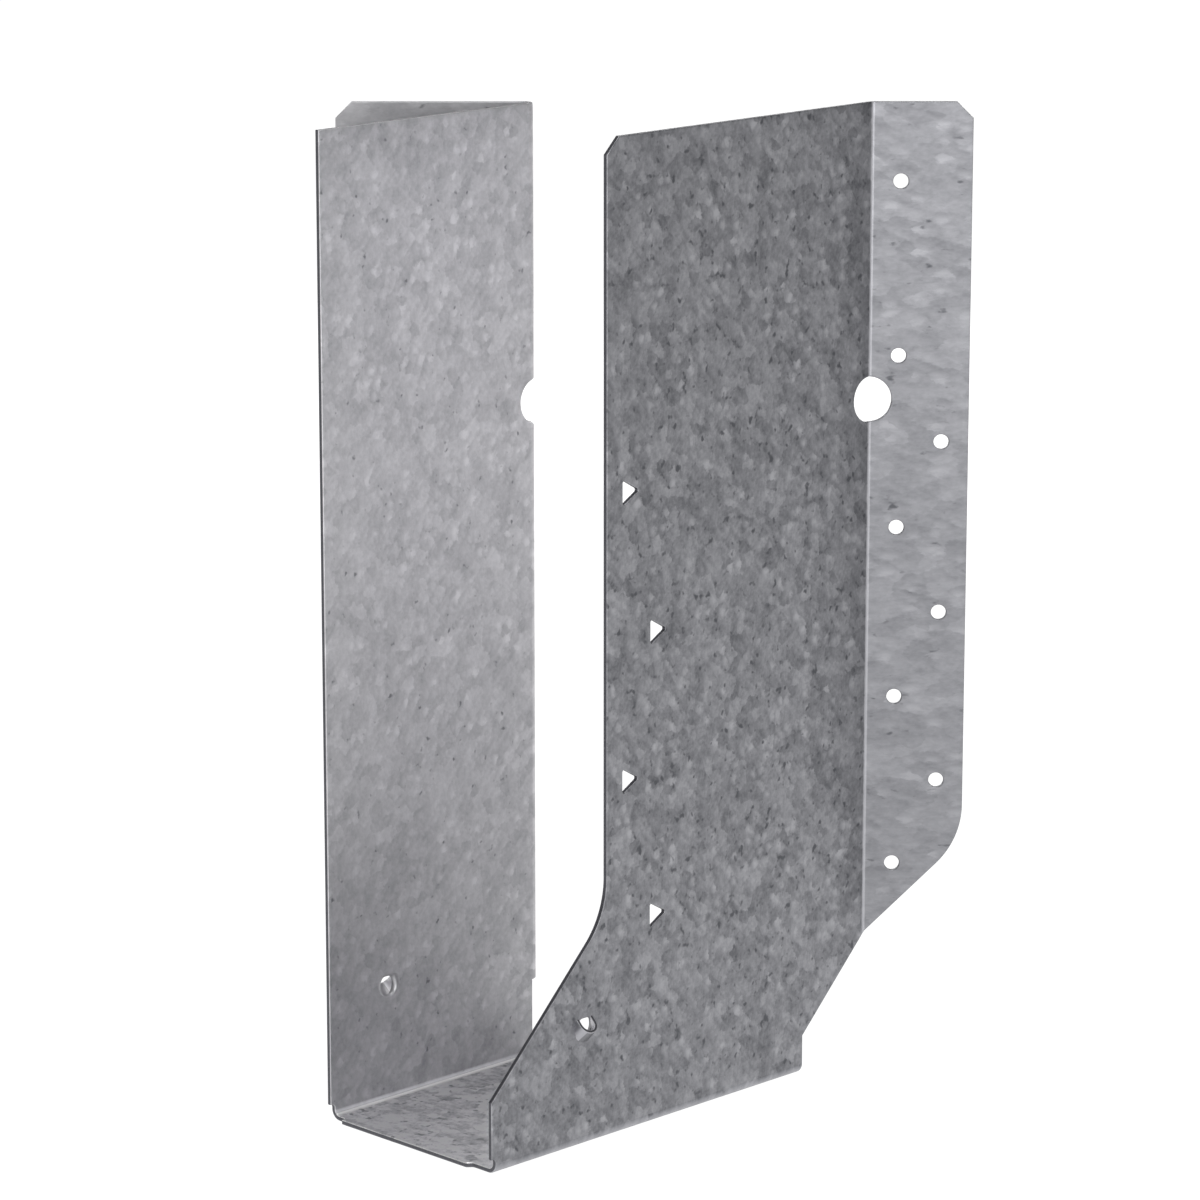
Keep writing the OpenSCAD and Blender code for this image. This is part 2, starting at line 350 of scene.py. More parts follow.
def scoreBlank(mesh):
    # lines across each bend, then the marks of finish and painted light, and the map that the finish
    # follows
    bm = bmesh.new()
    bm.from_mesh(mesh)
    bmesh.ops.remove_doubles(bm, verts=bm.verts, dist=weldBy)
    bmesh.ops.translate(bm, verts=bm.verts, vec=(0, 0, blank["sheet"] / 2))
    bmesh.ops.recalc_face_normals(bm, faces=bm.faces)
    facets = blank["bendFacets"]
    for sign in (1, -1):
        for k in range(facets + 1):
            cutAcross(bm, bm.faces[:], (0, sign * (seatHalf + seatBend * k / facets), 0), (0, 1, 0))
    for fold in (rightFold, leftFold):
        steps = round(facets * fold["turn"] / (math.pi / 2))
        for k in range(steps + 1):
            onSide = [f for f in bm.faces if f.calc_center_median().y * fold["sign"] > wallFoot]
            cutAcross(bm, onSide, (fold["start"] - fold["length"] * k / steps, 0, 0), (1, 0, 0))
    rim = bm.faces.layers.float.new("rim")              # how far a cut has rubbed the face
    paintedLight = bm.loops.layers.float.new("paintedLight")            # painted light: how much brighter the face is painted
    calm = bm.faces.layers.float.new("calm")            # where the crystals show less
    sheetMap = bm.loops.layers.uv.new("sheetMap")       # metres along and across the rolled sheet
    for face in bm.faces:
        face.smooth = True
        isFlat, isCut = abs(face.normal.z) >= 0.98, abs(face.normal.z) < 0.1
        face[rim] = 0.0 if isFlat else 1.0 if isCut else finishAndPaintedLight["roundedRim"]
        middle = face.calc_center_median()
        fold = rightFold if middle.y > 0 else leftFold
        facesJoist = face.normal.z > 0
        isSeat = abs(middle.y) < seatHalf + seatBend / 2
        isFlange = not isSeat and middle.x < fold["start"] - fold["length"] / 2
        isHeel = face.normal.z < 0 and seatHalf < abs(middle.y) < wallFoot
        face[calm] = 0.0 if isSeat else finishAndPaintedLight["calm" if isFlange or facesJoist else "calmOuter"]
        for loop in face.loops:
            along, across = loop.vert.co.x * mm, loop.vert.co.y * mm
            # painted light: the seat and the flanges' header faces get their own painted brightness, the
            # heels a painted shade
            if facesJoist and (isSeat or isFlange):
                loop[paintedLight] = finishAndPaintedLight["seatPaintedLight" if isSeat else "flangePaintedLight"]
            else:
                loop[paintedLight] = finishAndPaintedLight["heelPaintedShade"] if isHeel else paintedLightShare(facesJoist, loop.vert.co)
            if isFlange:
                loop[sheetMap].uv = (across, along * finishAndPaintedLight["flangeDraw"])
            elif isSeat:
                loop[sheetMap].uv = ((along + across) * math.sqrt(0.5), (across - along) * math.sqrt(0.5))
            else:
                loop[sheetMap].uv = (along, across)
    bm.to_mesh(mesh)
    bm.free()


def settle(source, name):
    # the evaluated result of an object's modifiers, as a plain mesh object
    depsgraph = bpy.context.evaluated_depsgraph_get()
    mesh = bpy.data.meshes.new_from_object(source.evaluated_get(depsgraph))
    mesh.name = name
    bpy.data.objects.remove(source)
    return addObject(name, mesh)


def markScoop(bm, fold, place, rubbing, isPaintedLit=False):
    # the same marks as on the blank: cut mouth, painted light inside, and the map run on over the curve
    rim = bm.faces.layers.float.new("rim")
    paintedLight = bm.loops.layers.float.new("paintedLight")
    calm = bm.faces.layers.float.new("calm")
    sheetMap = bm.loops.layers.uv.new("sheetMap")
    for face in bm.faces:
        face.smooth = True
        face[calm] = finishAndPaintedLight["calm"]
        face[rim] = rubbing(face)
        outwards = face.calc_center_median() - place
        outwards.z = max(outwards.z, 0.0)
        facesNail = face.normal.dot(outwards) < 0 or face.normal.z > 0.3
        for loop in face.loops:
            spot = loop.vert.co
            loop[paintedLight] = paintedLightShare(isPaintedLit or facesNail, spot)
            loop[sheetMap].uv = (spot.x * mm, (spot.y + fold["sign"] * spot.z) * mm)


def toObject(bm, name):
    bmesh.ops.recalc_face_normals(bm, faces=bm.faces)
    mesh = bpy.data.meshes.new(name)
    bm.to_mesh(mesh)
    bm.free()
    return addObject(name, mesh)


def scoopAxes(fold, x):
    # where the nail crosses the wall's outer face, its way out, and the side it lies on
    lean = math.radians(nailScoops["tilt"])
    place = Vector((*onWall(fold, x, nailScoops["height"])[:2], 0))
    out = Vector((0, fold["sign"] * math.cos(lean), -math.sin(lean)))
    down = Vector((0, -fold["sign"] * math.sin(lean), -math.cos(lean)))
    return place, out, down


def scoopShell(fold, x):
    # trough under the nail, open upwards: a U-shaped band that runs on into the wall
    place, out, down = scoopAxes(fold, x)
    turns = [math.pi * k / nailScoops["sides"] for k in range(nailScoops["sides"] + 1)]
    mouthAt = nailScoops["reach"]
    bm = bmesh.new()
    rings = []
    inner = nailScoops["bore"] / 2
    outer = inner + nailScoops["drawnWall"]
    top = -4 * outer                # so far up that the cut through the sheet ends the band
    for reach in (-nailScoops["root"] * nailScoops["bore"], mouthAt):
        wider = nailScoops["taper"] * (mouthAt - reach) / nailScoops["bore"]
        band = [(-outer - wider, top)]
        band += [(-(outer + wider) * math.cos(t), outer * math.sin(t)) for t in turns]
        band += [(outer + wider, top), (inner + wider, top)]
        band += [((inner + wider) * math.cos(t), inner * math.sin(t)) for t in turns]
        band.append((-inner - wider, top))
        rings.append([bm.verts.new(place + Vector((u, 0, 0)) + down * v + out * reach) for u, v in band])
    for i in range(len(band)):
        bm.faces.new((rings[0][i - 1], rings[0][i], rings[1][i], rings[1][i - 1]))
    bm.faces.new(rings[0])
    mouth = bm.faces.new(rings[1])
    bmesh.ops.recalc_face_normals(bm, faces=bm.faces)
    bmesh.ops.bevel(bm, geom=mouth.edges[:], offset=nailScoops["lip"], offset_type="OFFSET", segments=3,
                    profile=0.5, affect="EDGES", clamp_overlap=True)
    bmesh.ops.bisect_plane(bm, geom=bm.verts[:] + bm.edges[:] + bm.faces[:], dist=closeBy,
                           plane_co=(0, 0, blank["sheet"] * nailScoops["sunk"]), plane_no=(0, 0, 1),
                           clear_outer=True)
    bmesh.ops.holes_fill(bm, edges=[e for e in bm.edges if e.is_boundary], sides=0)
    bmesh.ops.recalc_face_normals(bm, faces=bm.faces)

    def rubbing(face):
        # the cut mouth, its lip, and the sides that the die has burnished
        facing = face.normal.dot(out)
        if facing > 0.98:
            return 1.0
        return finishAndPaintedLight["scoopLip"] if facing > 0.2 else nailScoops["rubbed"] * (abs(face.normal.x) > 0.5)

    markScoop(bm, fold, place, rubbing)
    return bm


def scoopHollow(fold, x):
    # the hole under the nail through the wall: round below, sheared nearly square above, and
    # flared on to the joist side
    place = scoopAxes(fold, x)[0]
    wide, flare, sheet = nailScoops["holeHalf"], nailScoops["flare"], blank["sheet"]
    steps = [(-sheet, 0.0), (0.0, 0.0), (sheet - flare, 0.0)]
    for k in range(1, nailScoops["flareSteps"] + 1):
        turn = math.pi / 2 * k / nailScoops["flareSteps"]
        steps.append((sheet - flare + flare * math.sin(turn), flare * (1 - math.cos(turn))))
    steps.append((sheet + flare, flare * nailScoops["flareEnd"]))
    bm = bmesh.new()
    rings = []
    for height, grown in steps:
        ring = []
        for k in range(2 * nailScoops["sides"]):
            t = math.pi * (k + 0.5) / nailScoops["sides"]
            isUpper = t < math.pi
            side = abs(math.cos(t)) ** (nailScoops["squareness"] if isUpper else 1.0)
            rise = nailScoops["holeUp" if isUpper else "holeDown"] + nailScoops["flareUp"] * grown
            up = rise * math.sin(t) + nailScoops["slant"] * height
            along = math.copysign((wide + nailScoops["flareAlong"] * grown) * side, math.cos(t))
            ring.append(bm.verts.new(place + Vector((along, fold["sign"] * up, height))))
        rings.append(ring)
    for low, high in zip(rings, rings[1:]):
        for i in range(len(low)):
            bm.faces.new((low[i - 1], low[i], high[i], high[i - 1]))
    bm.faces.new(rings[0])
    bm.faces.new(rings[-1])
    bmesh.ops.recalc_face_normals(bm, faces=bm.faces)
    # the whole hole is painted light like the joist side
    markScoop(bm, fold, place, lambda face: 0.0, isPaintedLit=True)
    return bm


def drawScoops(flat):
    # each scoop is punched through the wall and its trough raised on the outer side
    tools = []
    for fold, x in ((rightFold, nailScoops["rightX"]), (leftFold, nailScoops["leftX"])):
        for build, action in ((scoopHollow, "DIFFERENCE"), (scoopShell, "UNION")):
            tool = toObject(build(fold, x), "scoopTool")
            tools.append(tool)
            change = flat.modifiers.new(tool.name, "BOOLEAN")
            change.operation = action
            change.solver = "EXACT"
            change.object = tool
    drawn = settle(flat, "flatBlank")
    for tool in tools:
        bpy.data.objects.remove(tool)
    return drawn


# Bending, as geometry nodes: everything past a line is rolled round the bend's centre.
def bendGroup():
    tree = bpy.data.node_groups.new("bendSheet", "GeometryNodeTree")
    for name, kind in (("Geometry", "Geometry"), ("Line", "Vector"), ("Across", "Vector"),
                       ("Axis", "Vector"), ("Centre", "Float"), ("Neutral Radius", "Float"),
                       ("Turn", "Float"), ("Side", "Vector"), ("Side Start", "Float"), ("RubAndHighlight", "Float")):
        tree.interface.new_socket(name, in_out="INPUT", socket_type="NodeSocket" + kind)
    tree.interface.new_socket("Geometry", in_out="OUTPUT", socket_type="NodeSocketGeometry")
    given = addNode(tree, "NodeGroupInput").outputs
    place = addNode(tree, "GeometryNodeInputPosition").outputs[0]
    fromLine = addNode(tree, "ShaderNodeVectorMath", {0: place, 1: given["Line"]}, operation="SUBTRACT")
    reach = addNode(tree, "ShaderNodeVectorMath", {0: fromLine.outputs[0], 1: given["Across"]},
                    operation="DOT_PRODUCT")
    rolled = addNode(tree, "ShaderNodeMath", {0: reach.outputs["Value"], 1: given["Neutral Radius"]},
                     operation="DIVIDE")
    angle = addNode(tree, "ShaderNodeClamp", {"Value": rolled.outputs[0], "Min": 0.0, "Max": given["Turn"]})
    taken = addNode(tree, "ShaderNodeMath", {0: angle.outputs[0], 1: given["Neutral Radius"]},
                    operation="MULTIPLY")
    pull = addNode(tree, "ShaderNodeVectorMath", {0: given["Across"], "Scale": taken.outputs[0]},
                   operation="SCALE")
    pulled = addNode(tree, "ShaderNodeVectorMath", {0: place, 1: pull.outputs[0]}, operation="SUBTRACT")
    lift = addNode(tree, "ShaderNodeCombineXYZ", {"Z": given["Centre"]})
    centre = addNode(tree, "ShaderNodeVectorMath", {0: given["Line"], 1: lift.outputs[0]}, operation="ADD")
    turned = addNode(tree, "ShaderNodeVectorRotate",
                     {"Vector": pulled.outputs[0], "Center": centre.outputs[0], "Axis": given["Axis"],
                      "Angle": angle.outputs[0]}, rotation_type="AXIS_ANGLE")
    sideways = addNode(tree, "ShaderNodeVectorMath", {0: place, 1: given["Side"]}, operation="DOT_PRODUCT")
    isHere = addNode(tree, "FunctionNodeCompare",
                     {0: sideways.outputs["Value"], 1: given["Side Start"]}, operation="GREATER_THAN")
    share = addNode(tree, "ShaderNodeMath", {0: angle.outputs[0], 1: given["Turn"]}, operation="DIVIDE")
    arch = addNode(tree, "ShaderNodeMath", {0: share.outputs[0], 1: math.pi}, operation="MULTIPLY")
    strain = addNode(tree, "ShaderNodeMath", {0: arch.outputs[0]}, operation="SINE")
    strainHere = addNode(tree, "ShaderNodeMath", {0: strain.outputs[0], 1: isHere.outputs[0]},
                         operation="MULTIPLY")
    # rubbing along a bend, which on the right fold is also a painted highlight
    rubbed = addNode(tree, "ShaderNodeMath", {0: strainHere.outputs[0], 1: given["RubAndHighlight"]},
                     operation="MULTIPLY")
    before = addNode(tree, "GeometryNodeInputNamedAttribute", {"Name": "bendStrainAndHighlight"}, data_type="FLOAT")
    most = addNode(tree, "ShaderNodeMath", {0: before.outputs["Attribute"], 1: rubbed.outputs[0]},
                   operation="MAXIMUM")
    marked = addNode(tree, "GeometryNodeStoreNamedAttribute",
                     {"Geometry": given["Geometry"], "Name": "bendStrainAndHighlight", "Value": most.outputs[0]},
                     data_type="FLOAT", domain="POINT")
    moved = addNode(tree, "GeometryNodeSetPosition",
                    {"Geometry": marked.outputs[0], "Selection": isHere.outputs[0],
                     "Position": turned.outputs[0]})
    addNode(tree, "NodeGroupOutput", {0: moved.outputs[0]})
    return tree


def foldTree(zinc, cutSteel):
    # flange folds first, while the blank is flat, then the seat bends; the finish goes on last
    tree = bpy.data.node_groups.new("foldHanger", "GeometryNodeTree")
    for name, kind in (("Geometry", "Geometry"), ("Sheet", "Float"), ("Fold Radius", "Float"),
                       ("Seat Half", "Float"), ("Wall Foot", "Float"), ("Right Start", "Float"),
                       ("Right Turn", "Float"), ("Left Start", "Float"), ("Left Turn", "Float"),
                       ("Joist Heading", "Float"), ("Scale", "Float")):
        tree.interface.new_socket(name, in_out="INPUT", socket_type="NodeSocket" + kind)
    tree.interface.new_socket("Geometry", in_out="OUTPUT", socket_type="NodeSocketGeometry")
    given = addNode(tree, "NodeGroupInput").outputs
    neutral = addNode(tree, "ShaderNodeMath", {0: given["Sheet"], 1: 0.5, 2: given["Fold Radius"]},
                      operation="MULTIPLY_ADD").outputs[0]
    below = addNode(tree, "ShaderNodeMath", {0: given["Fold Radius"], 1: -1.0},
                    operation="MULTIPLY").outputs[0]
    above = addNode(tree, "ShaderNodeMath", {0: given["Fold Radius"], 1: given["Sheet"]}).outputs[0]
    bend = bendGroup()
    geometry = given["Geometry"]
    # only the right fold is rubbed bright, which also paints a highlight along its ridge
    for start, turn, sign, rubAndHighlight in (("Right Start", "Right Turn", 1.0, 1.0),
                                   ("Left Start", "Left Turn", -1.0, 0.0)):
        line = addNode(tree, "ShaderNodeCombineXYZ", {"X": given[start]})
        folded = addNode(tree, "GeometryNodeGroup",
                         {"Geometry": geometry, "Line": line.outputs[0], "Across": (-1.0, 0.0, 0.0),
                          "Axis": (0.0, -1.0, 0.0), "Centre": below, "Neutral Radius": neutral,
                          "Turn": given[turn], "Side": (0.0, sign, 0.0),
                          "Side Start": given["Wall Foot"], "RubAndHighlight": rubAndHighlight}, node_tree=bend)
        geometry = folded.outputs[0]
    for sign in (1.0, -1.0):
        edge = addNode(tree, "ShaderNodeMath", {0: given["Seat Half"], 1: sign}, operation="MULTIPLY")
        line = addNode(tree, "ShaderNodeCombineXYZ", {"Y": edge.outputs[0]})
        folded = addNode(tree, "GeometryNodeGroup",
                         {"Geometry": geometry, "Line": line.outputs[0], "Across": (0.0, sign, 0.0),
                          "Axis": (sign, 0.0, 0.0), "Centre": above, "Neutral Radius": neutral,
                          "Turn": math.pi / 2, "Side": (0.0, 0.0, 0.0), "Side Start": -1.0, "RubAndHighlight": 1.0},
                         node_tree=bend)
        geometry = folded.outputs[0]
    heading = addNode(tree, "ShaderNodeCombineXYZ", {"Z": given["Joist Heading"]})
    size = addNode(tree, "ShaderNodeCombineXYZ",
                   {"X": given["Scale"], "Y": given["Scale"], "Z": given["Scale"]})
    placed = addNode(tree, "GeometryNodeTransform",
                     {"Geometry": geometry, "Rotation": heading.outputs[0], "Scale": size.outputs[0]})
    realized = addNode(tree, "GeometryNodeRealizeInstances", {0: placed.outputs[0]})
    faced = addNode(tree, "GeometryNodeSetMaterial", {"Geometry": realized.outputs[0], "Material": zinc})
    rim = addNode(tree, "GeometryNodeInputNamedAttribute", {"Name": "rim"}, data_type="FLOAT")
    isCut = addNode(tree, "FunctionNodeCompare", {0: rim.outputs["Attribute"], 1: finishAndPaintedLight["cutFrom"]},
                    operation="GREATER_THAN")
    edged = addNode(tree, "GeometryNodeSetMaterial",
                    {"Geometry": faced.outputs[0], "Selection": isCut.outputs[0], "Material": cutSteel})
    addNode(tree, "NodeGroupOutput", {0: edged.outputs[0]})
    return tree


def foldHanger(zinc, cutSteel):
    mesh = punchBlank()
    scoreBlank(mesh)
    flat = drawScoops(addObject("flatBlank", mesh))
    fold = flat.modifiers.new("fold", "NODES")
    fold.node_group = foldTree(zinc, cutSteel)
    sockets = {item.name: item.identifier for item in fold.node_group.interface.items_tree
               if item.in_out == "INPUT"}
    sizes = {"Sheet": blank["sheet"], "Fold Radius": blank["foldRadius"], "Seat Half": seatHalf,
             "Wall Foot": wallFoot, "Right Start": rightFold["start"], "Right Turn": rightFold["turn"],
             "Left Start": leftFold["start"], "Left Turn": leftFold["turn"],
             "Joist Heading": math.radians(270 - blank["skew"]), "Scale": mm}
    for name, value in sizes.items():
        fold[sockets[name]] = value
    return flat


# Hot-dip galvanised steel, the zinc left as it froze: a satin grey metal, mottled by soft
# pebbly crystals a few millimetres across, with short dark flecks of oxide between them.
# Besides the zinc, this paints light: the joist side, the seat and a middle height are painted brighter.
zincFinishAndPaintedLight = {
    "dull": "#6b6c70",
    "bright": "#acacb0",
    "fleck": "#5e5f63",
    "burnishedAndHighlight": "#c6c6cb",     # where a bend or a rim has been rubbed; on the right fold also a painted highlight
    "bendRubAndHighlight": 0.6,             # how far that goes along the middle of a bend
    "paintedLightGain": (0.9, 0.88, 0.83),     # painted light: how much brighter a face marked 1 is painted
    "paintedSheen": 1.17,              # painted highlight: share of that painted light at its best height, that height, as a share of the hanger's, and how fast the painted light falls off above and below it
    "paintedSheenAt": 0.57,            # that height, as a share of the hanger's,
    "paintedSheenFade": 1.65,          # and how fast the gain falls off above and below it
    "roughness": 0.42,
    "glossSpread": 0.06,        # how much smoother bright spots are than that, and dull ones rougher
    "crystal": 3.4,             # across, in millimetres, as are the next four
    "grain": 1.7,               # the finer mottling on the crystals
    "patch": 6.8,               # patches of dull and of bright metal
    "cloud": 16.0,              # the slow drift of the coating
    "fleckSize": 2.2,
    "stretch": 1.15,            # length of the crystals over their width
    "waver": 2.0,               # how far crystal edges wander
    "melt": 0.18,               # and how far crystals run into each other
    "crown": (0.05, 0.55),      # from a crystal's middle, where its shine begins to fade and ends
    "chosen": (0.6, 0.9),       # random value of a crystal from which it shines, and shines most
    "weights": {"shine": 0.45, "own": 0.42, "grain": 0.9, "patch": 0.9, "cloud": 0.3},
    "levels": (0.8, 1.9),       # what those add up to where the metal is dull and where it is bright
    "evenLevel": 0.46,          # brightness that calm faces tend to
    "fleckCut": (0.27, 0.48),   # value of their noise at which a fleck begins, and is full
    "fleckPatch": -0.75,        # how many fewer of them there are in bright patches,
    "fleckCalm": -0.2,          # and on calm faces
    "relief": 0.02,             # height of the crystals, in millimetres
    "fleckDip": -0.5,           # how far a fleck lies below them, as a share of it
}


def galvanisedZinc():
    material, tree = addMaterial("galvanisedZinc")
    finish = zincFinishAndPaintedLight
    place = addNode(tree, "ShaderNodeUVMap", uv_map="sheetMap").outputs[0]
    drawn = addNode(tree, "ShaderNodeMapping",
                    {"Vector": place, "Scale": (1 / mm, 1 / mm / finish["stretch"], 1.0)}).outputs[0]
    grain = addNode(tree, "ShaderNodeTexNoise",
                    {"Vector": drawn, "Scale": 1 / finish["grain"], "Detail": 3.0, "Roughness": 0.62},
                    noise_dimensions="2D")
    bent = addNode(tree, "ShaderNodeVectorMath",
                   {0: grain.outputs["Color"], 1: (finish["waver"],) * 3, 2: drawn},
                   operation="MULTIPLY_ADD").outputs[0]
    cloud = addNode(tree, "ShaderNodeTexNoise",
                    {"Vector": drawn, "Scale": 1 / finish["cloud"], "Detail": 3.0, "Roughness": 0.6},
                    noise_dimensions="2D").outputs["Fac"]

    # crystals: cells that melt into each other, each with its own brightness, and a few that shine
    cells = addNode(tree, "ShaderNodeTexVoronoi",
                    {"Vector": bent, "Scale": 1 / finish["crystal"], "Smoothness": finish["melt"]},
                    feature="SMOOTH_F1", voronoi_dimensions="2D")
    own = addNode(tree, "ShaderNodeSeparateColor", {0: cells.outputs["Color"]})
    near, far = finish["crown"]
    crown = addNode(tree, "ShaderNodeMapRange",
                    {"Value": cells.outputs["Distance"], "From Min": near, "From Max": far,
                     "To Min": 1.0, "To Max": 0.0}, interpolation_type="SMOOTHSTEP").outputs[0]
    low, high = finish["chosen"]
    chosen = addNode(tree, "ShaderNodeMapRange",
                     {"Value": own.outputs[1], "From Min": low, "From Max": high}).outputs[0]
    shine = addNode(tree, "ShaderNodeMath", {0: crown, 1: chosen}, operation="MULTIPLY").outputs[0]
    patch = addNode(tree, "ShaderNodeTexNoise",
                    {"Vector": bent, "Scale": 1 / finish["patch"], "Detail": 4.0, "Roughness": 0.7},
                    noise_dimensions="2D").outputs["Fac"]
    tone = addNode(tree, "ShaderNodeMath", {0: shine, 1: finish["weights"]["shine"]},
                   operation="MULTIPLY").outputs[0]
    for level, name in ((own.outputs[0], "own"), (grain.outputs["Fac"], "grain"), (patch, "patch"),
                        (cloud, "cloud")):
        tone = addNode(tree, "ShaderNodeMath", {0: level, 1: finish["weights"][name], 2: tone},
                       operation="MULTIPLY_ADD").outputs[0]
    low, high = finish["levels"]
    lively = addNode(tree, "ShaderNodeMapRange",
                     {"Value": tone, "From Min": low, "From Max": high}).outputs[0]
    calm = addNode(tree, "ShaderNodeAttribute", attribute_name="calm").outputs["Fac"]
    evened = addNode(tree, "ShaderNodeMix", {0: calm, 2: lively, 3: finish["evenLevel"]}).outputs[0]
    grey = addNode(tree, "ShaderNodeMix", {0: evened, 6: linearColour(finish["dull"]),
                                           7: linearColour(finish["bright"])}, data_type="RGBA")

    # flecks: the tail of a short-grained noise, more of them in the dull patches
    scatter = addNode(tree, "ShaderNodeTexNoise",
                      {"Vector": drawn, "Scale": 1 / finish["fleckSize"], "Detail": 1.0},
                      noise_dimensions="2D").outputs["Fac"]
    crowded = addNode(tree, "ShaderNodeMath", {0: patch, 1: finish["fleckPatch"], 2: scatter},
                      operation="MULTIPLY_ADD").outputs[0]
    thinned = addNode(tree, "ShaderNodeMath", {0: calm, 1: finish["fleckCalm"], 2: crowded},
                      operation="MULTIPLY_ADD").outputs[0]
    low, high = finish["fleckCut"]
    fleck = addNode(tree, "ShaderNodeMapRange", {"Value": thinned, "From Min": low, "From Max": high},
                    interpolation_type="SMOOTHSTEP").outputs[0]
    flecked = addNode(tree, "ShaderNodeMix", {0: fleck, 6: grey.outputs[2],
                                              7: linearColour(finish["fleck"])}, data_type="RGBA")

    # painted light: the joist side painted brighter, most at a middle height, and bends and rims rubbed
    # bright, on the right fold also a painted highlight
    paintedLight = addNode(tree, "ShaderNodeAttribute", attribute_name="paintedLight").outputs["Fac"]
    # painted highlight and shade: brightest at a middle height, darker above and below
    height = addNode(tree, "ShaderNodeSeparateXYZ",
                     {0: addNode(tree, "ShaderNodeTexCoord").outputs["Object"]}).outputs["Z"]
    fromMiddle = addNode(tree, "ShaderNodeMath", {0: height, 1: 1 / boxHigh.z, 2: -finish["paintedSheenAt"]},
                         operation="MULTIPLY_ADD").outputs[0]
    fading = addNode(tree, "ShaderNodeMath", {0: fromMiddle, 1: fromMiddle},
                     operation="MULTIPLY").outputs[0]
    paintedSheen = addNode(tree, "ShaderNodeMath", {0: fading, 1: -finish["paintedSheenFade"], 2: finish["paintedSheen"]},
                    operation="MULTIPLY_ADD").outputs[0]
    shining = addNode(tree, "ShaderNodeMath", {0: paintedLight, 1: paintedSheen}, operation="MULTIPLY").outputs[0]
    lift = addNode(tree, "ShaderNodeVectorMath",
                   {0: shining, 1: finish["paintedLightGain"], 2: (1.0, 1.0, 1.0)}, operation="MULTIPLY_ADD")
    strain = addNode(tree, "ShaderNodeAttribute", attribute_name="bendStrainAndHighlight").outputs["Fac"]
    rim = addNode(tree, "ShaderNodeAttribute", attribute_name="rim").outputs["Fac"]
    rubbed = addNode(tree, "ShaderNodeMath", {0: strain, 1: finish["bendRubAndHighlight"], 2: rim},
                     operation="MULTIPLY_ADD")
    wornAndHighlit = addNode(tree, "ShaderNodeMix", {0: rubbed.outputs[0], 6: flecked.outputs[2],
                                           7: linearColour(finish["burnishedAndHighlight"])}, data_type="RGBA")
    paintedLitColour = addNode(tree, "ShaderNodeVectorMath", {0: wornAndHighlit.outputs[2], 1: lift.outputs[0]},
                    operation="MULTIPLY")
    gloss = addNode(tree, "ShaderNodeMapRange",
                    {"Value": evened, "To Min": finish["roughness"] + finish["glossSpread"],
                     "To Max": finish["roughness"] - finish["glossSpread"]}).outputs[0]
    raised = addNode(tree, "ShaderNodeMath", {0: fleck, 1: finish["fleckDip"], 2: evened},
                     operation="MULTIPLY_ADD")
    bump = addNode(tree, "ShaderNodeBump",
                   {"Height": raised.outputs[0], "Strength": 1.0, "Distance": finish["relief"] * mm})
    shader = addNode(tree, "ShaderNodeBsdfPrincipled",
                     {"Base Color": paintedLitColour.outputs[0], "Metallic": 1.0, "Roughness": gloss,
                      "Normal": bump.outputs[0]})
    addNode(tree, "ShaderNodeOutputMaterial", {"Surface": shader.outputs[0]})
    return material


# The sheared rim of the sheet: bare steel torn by the punch, duller and darker than the
# zinc, with a fine uneven grain.
shearedFinish = {
    "torn": "#4c4c51",
    "smooth": "#737378",
    "grain": 0.6,               # in millimetres
    "roughness": 0.5,
}


def shearedSteel():
    material, tree = addMaterial("shearedSteel")
    finish = shearedFinish
    place = addNode(tree, "ShaderNodeTexCoord")
    grain = addNode(tree, "ShaderNodeTexNoise", {"Vector": place.outputs["Object"],
                                                 "Scale": 1 / (finish["grain"] * mm), "Detail": 4.0})
    colour = addNode(tree, "ShaderNodeMix",
                     {0: grain.outputs["Fac"], 6: linearColour(finish["torn"]),
                      7: linearColour(finish["smooth"])}, data_type="RGBA")
    shader = addNode(tree, "ShaderNodeBsdfPrincipled",
                     {"Base Color": colour.outputs[2], "Metallic": 1.0, "Roughness": finish["roughness"]})
    addNode(tree, "ShaderNodeOutputMaterial", {"Surface": shader.outputs[0]})
    return material


zinc, cutSteel = galvanisedZinc(), shearedSteel()
hanger = settle(foldHanger(zinc, cutSteel), "foldedHanger")
hanger.data.set_sharp_from_angle(angle=math.radians(blank["sharpFrom"]))
weighted = hanger.modifiers.new("weightedNormal", "WEIGHTED_NORMAL")
weighted.keep_sharp = True
hanger = settle(hanger, "foldedHanger")
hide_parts("hanger")
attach(hanger, "root")
print("hanger folded:", len(hanger.data.polygons), "faces")

# A pale floor, which goes on past the view, and soft light from above, behind and in front.
studio = {
    "floorHalf": 9.0,
    "floorColour": "#eeeeee",
    "floorWhite": 1.2,          # strength of the plain white that is mixed into its look,
    "floorGlow": 0.75,          # its share where the metal mirrors the floor,
    "glowSeen": 1.1,            # and how much more of it the camera sees
    "roomLight": 0.3,
    "cameraPlace": (-0.03133, -1.41365, 0.46811),
    "cameraPitch": 76.8914,     # degrees up from looking straight down
    "lens": 148.74,             # on a sensor 36 mm wide
    "sensor": 36,
    "aim": (-0.02, -0.05, 0.14),            # of the softboxes
    "softboxes": {              # place, size and power in watts
        "overhead": ((0.1, -0.1, 1.5), (1.4, 1.4), 10),
        "behind": ((0.0, 1.3, 0.36), (1.6, 0.36), 10),
        "front": ((0.5, -1.6, 0.5), (1.0, 1.0), 10),
    },
}


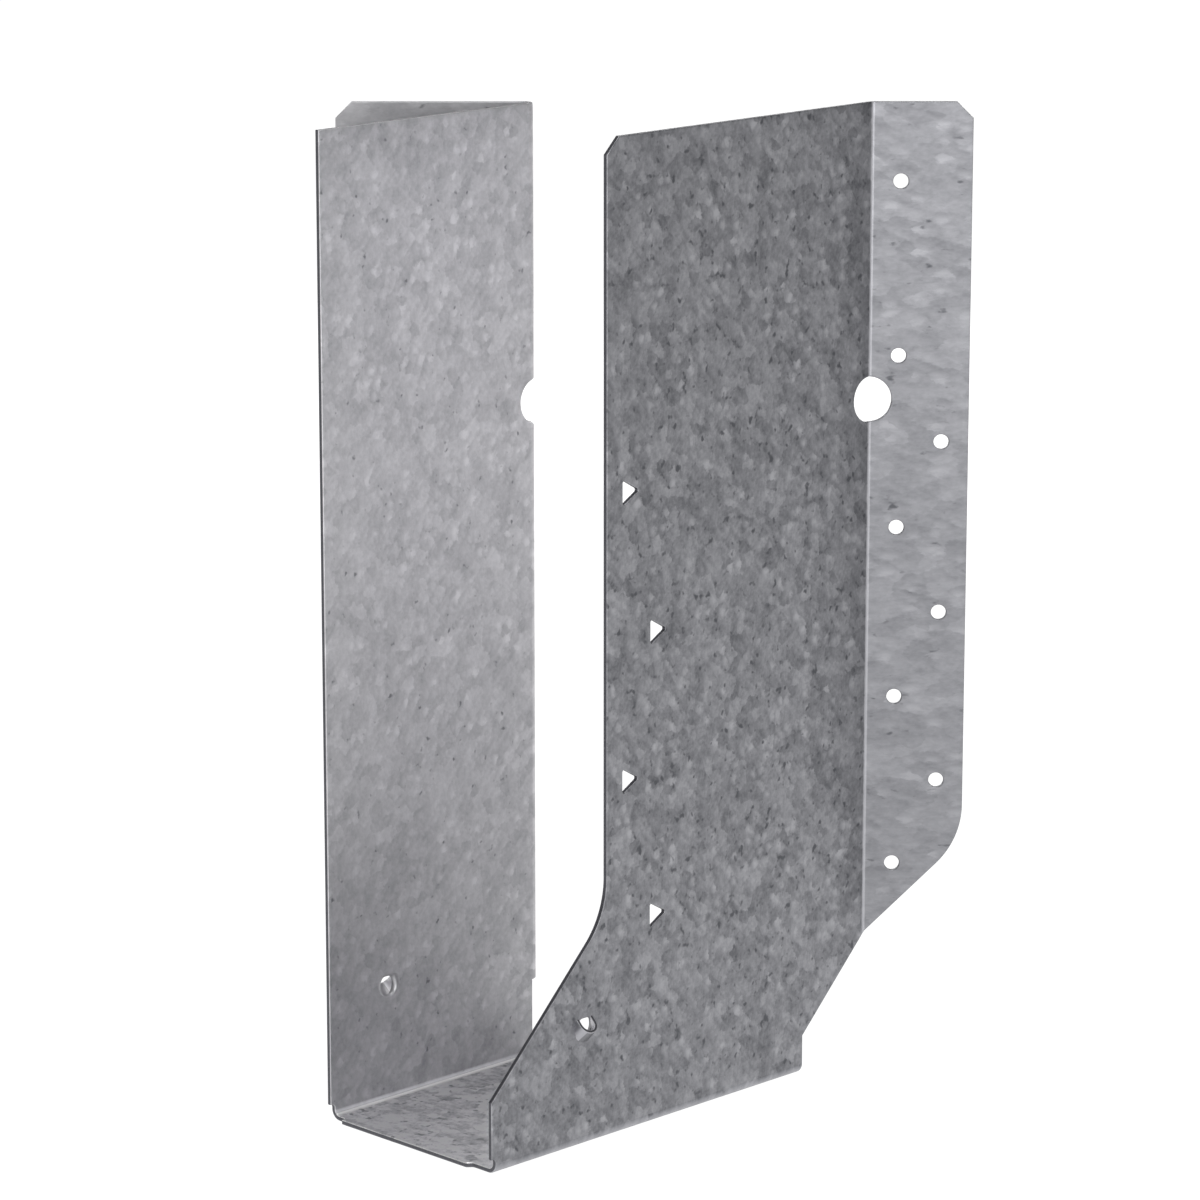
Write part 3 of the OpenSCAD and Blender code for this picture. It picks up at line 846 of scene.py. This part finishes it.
def paleFloor():
    material, tree = addMaterial("paintedFloor")
    paint = addNode(tree, "ShaderNodeBsdfDiffuse", {"Color": linearColour(studio["floorColour"])})
    white = addNode(tree, "ShaderNodeEmission",
                    {"Color": (1, 1, 1, 1), "Strength": studio["floorWhite"]})
    path = addNode(tree, "ShaderNodeLightPath")
    seen = addNode(tree, "ShaderNodeMath",
                   {0: path.outputs["Is Camera Ray"], 1: studio["glowSeen"],
                    2: path.outputs["Is Glossy Ray"]}, operation="MULTIPLY_ADD")
    share = addNode(tree, "ShaderNodeMath", {0: seen.outputs[0], 1: studio["floorGlow"]},
                    operation="MULTIPLY")
    shown = addNode(tree, "ShaderNodeMixShader",
                    {0: share.outputs[0], 1: paint.outputs[0], 2: white.outputs[0]})
    addNode(tree, "ShaderNodeOutputMaterial", {"Surface": shown.outputs[0]})
    half = studio["floorHalf"]
    mesh = bpy.data.meshes.new("floor")
    mesh.from_pydata([(-half, -half, 0), (half, -half, 0), (half, half, 0), (-half, half, 0)], [],
                     [(0, 1, 2, 3)])
    mesh.materials.append(material)
    addObject("floor", mesh)


def lightRoom():
    # a dim even room that the camera sees as white, and the softboxes
    world = bpy.data.worlds.new("studio")
    bpy.context.scene.world = world
    world.use_nodes = True
    tree = world.node_tree
    tree.nodes.clear()
    path = addNode(tree, "ShaderNodeLightPath")
    strength = addNode(tree, "ShaderNodeMapRange",
                       {"Value": path.outputs["Is Camera Ray"], "To Min": studio["roomLight"],
                        "To Max": 1.0})
    air = addNode(tree, "ShaderNodeBackground", {"Color": (1, 1, 1, 1), "Strength": strength.outputs[0]})
    addNode(tree, "ShaderNodeOutputWorld", {"Surface": air.outputs[0]})
    for name, (place, size, power) in studio["softboxes"].items():
        light = bpy.data.lights.new(name, "AREA")
        light.shape = "RECTANGLE"
        light.size, light.size_y = size
        light.energy = power
        lamp = addObject(name, light)
        lamp.location = place
        lamp.rotation_euler = (Vector(studio["aim"]) - Vector(place)).to_track_quat("-Z", "Y").to_euler()


def placeCamera():
    camera = bpy.data.cameras.new("camera")
    camera.lens = studio["lens"]
    camera.sensor_width = studio["sensor"]
    view = addObject("camera", camera)
    view.location = studio["cameraPlace"]
    view.rotation_euler = (math.radians(studio["cameraPitch"]), 0, 0)
    bpy.context.scene.camera = view


paleFloor()
lightRoom()
placeCamera()
bpy.context.scene.view_settings.view_transform = "Standard"
print("floor, lights and camera placed")
